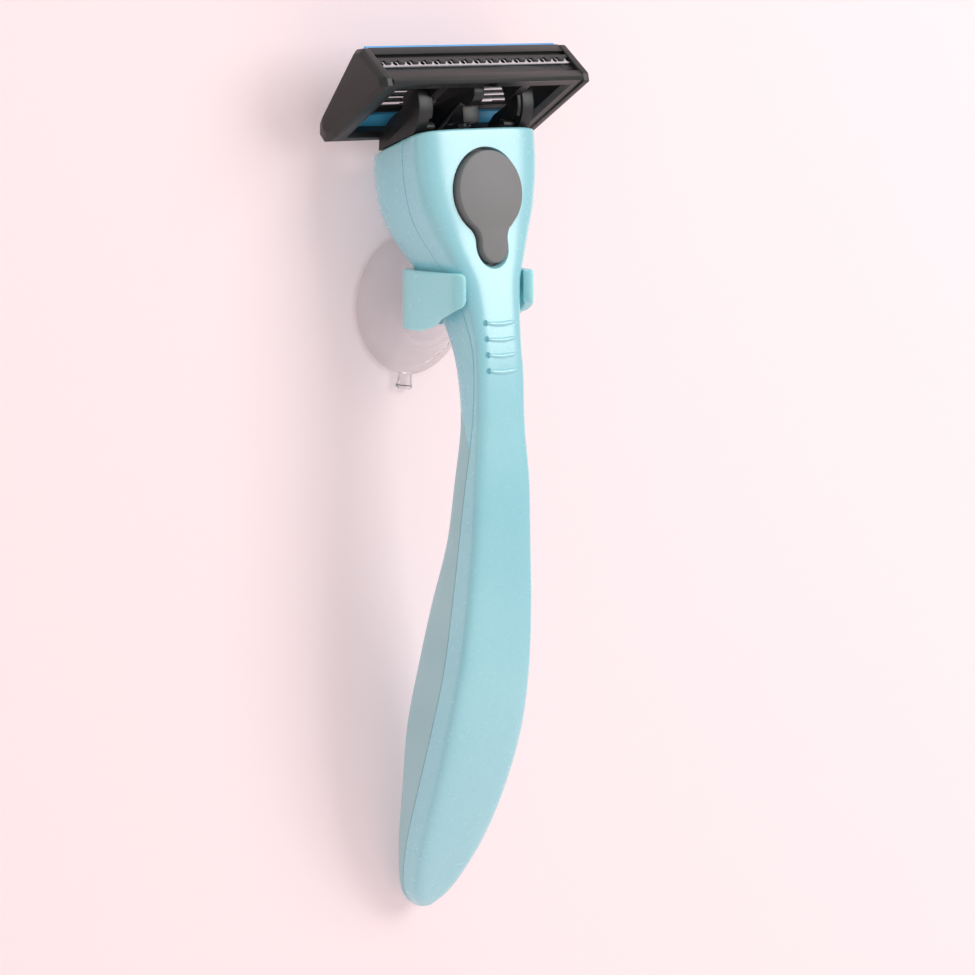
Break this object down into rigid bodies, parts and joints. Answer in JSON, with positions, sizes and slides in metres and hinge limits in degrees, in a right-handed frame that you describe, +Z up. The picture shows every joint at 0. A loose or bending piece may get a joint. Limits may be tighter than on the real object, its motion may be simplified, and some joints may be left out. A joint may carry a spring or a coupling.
{
  "type": "wet-shaving razor with suction-cup wall holder",
  "caption": "Women's manual wet razor with a pivoting, push-off blade cartridge, hanging by its neck in a clip on a suction cup.",
  "frame": {"origin": "centre of the suction cup on the wall plane", "axes": "+Z up along the wall, -Y out of the wall towards the user, +X to the right seen from the front"},
  "size_m": [0.0424, 0.0229, 0.1374],
  "materials": {
    "aqua_plastic": "satin gloss moulded plastic",
    "grip_rubber": "soft matt overmould",
    "clip_plastic": "gloss moulded plastic",
    "clear_pvc": "clear flexible plastic",
    "grey_plastic": "matt moulded plastic",
    "black_plastic": "satin moulded plastic",
    "spring_steel": "drawn spring wire",
    "holder_steel": "bent stainless strip",
    "blade_steel": "ground stainless strip",
    "blue_plastic": "matt moulded plastic",
    "guard_rubber": "soft matt rubber",
    "lube_polymer": "waxy water-soluble polymer"
  },
  "bodies": {
    "cup": {"suction_cup": "clear_pvc"},
    "holder": {"holder_clip": "clip_plastic"},
    "handle": {"front_shell": "aqua_plastic", "rear_shell": "aqua_plastic", "rear_grip": "grip_rubber", "guide_block": "grey_plastic", "button_springs": "spring_steel", "ejector_spring": "spring_steel", "plunger_spring": "spring_steel"},
    "button": {"release_button": "grey_plastic"},
    "ejector": {"ejector_slide": "black_plastic"},
    "plunger": {"plunger": "grey_plastic"},
    "yoke": {"yoke": "black_plastic"},
    "cartridge": {"cartridge_frame": "black_plastic", "end_cap_left": "black_plastic", "end_cap_right": "black_plastic", "guard_base": "blue_plastic", "guard_rubber": "guard_rubber", "lube_tray": "black_plastic", "lube_strip": "lube_polymer", "trimmer_blade": "blade_steel", "blade_1": "blade_steel", "blade_2": "blade_steel", "blade_3": "blade_steel", "blade_4": "blade_steel", "blade_5": "blade_steel", "blade_6": "blade_steel", "blade_holder_1": "holder_steel", "blade_holder_2": "holder_steel", "blade_holder_3": "holder_steel", "blade_holder_4": "holder_steel", "blade_holder_5": "holder_steel", "blade_holder_6": "holder_steel"}
  },
  "joints": [
    {"name": "holder_swivel", "type": "hinge", "parent": "cup", "child": "holder", "pos_m": [0, 0, 0], "axis": [0, -1, 0], "range_deg": [-30, 30]},
    {"name": "razor_lift", "type": "slide", "parent": "holder", "child": "handle", "axis": [0, -0.25, 0.9682], "range_m": [0, 0.045]},
    {"name": "button_press", "type": "slide", "parent": "handle", "child": "button", "axis": [0, 0.9925, -0.1219], "range_m": [0, 0.0012], "stiffness_N_per_m": 900, "springref_m": -0.001, "deforming": ["button_springs"]},
    {"name": "ejector_travel", "type": "slide", "parent": "handle", "child": "ejector", "axis": [0, 0.1219, 0.9925], "range_m": [0, 0.0012], "deforming": ["ejector_spring"]},
    {"name": "plunger_slide", "type": "slide", "parent": "handle", "child": "plunger", "axis": [0, -0.1219, -0.9925], "range_m": [0, 0.0033], "deforming": ["plunger_spring"]},
    {"name": "cartridge_release", "type": "slide", "parent": "handle", "child": "yoke", "axis": [0, 0.1219, 0.9925], "range_m": [0, 0.02]},
    {"name": "cartridge_pivot", "type": "hinge", "parent": "yoke", "child": "cartridge", "pos_m": [0, -0.0099, 0.0314], "axis": [1, 0, 0], "range_deg": [0, 35], "stiffness_Nm_per_rad": 0.005, "springref_deg": -17.19}
  ],
  "couplings": [
    {"joint": "ejector_travel", "follows": "button_press", "ratio": 1},
    {"joint": "plunger_slide", "follows": "cartridge_pivot", "m_per_rad": 0.00512}
  ]
}
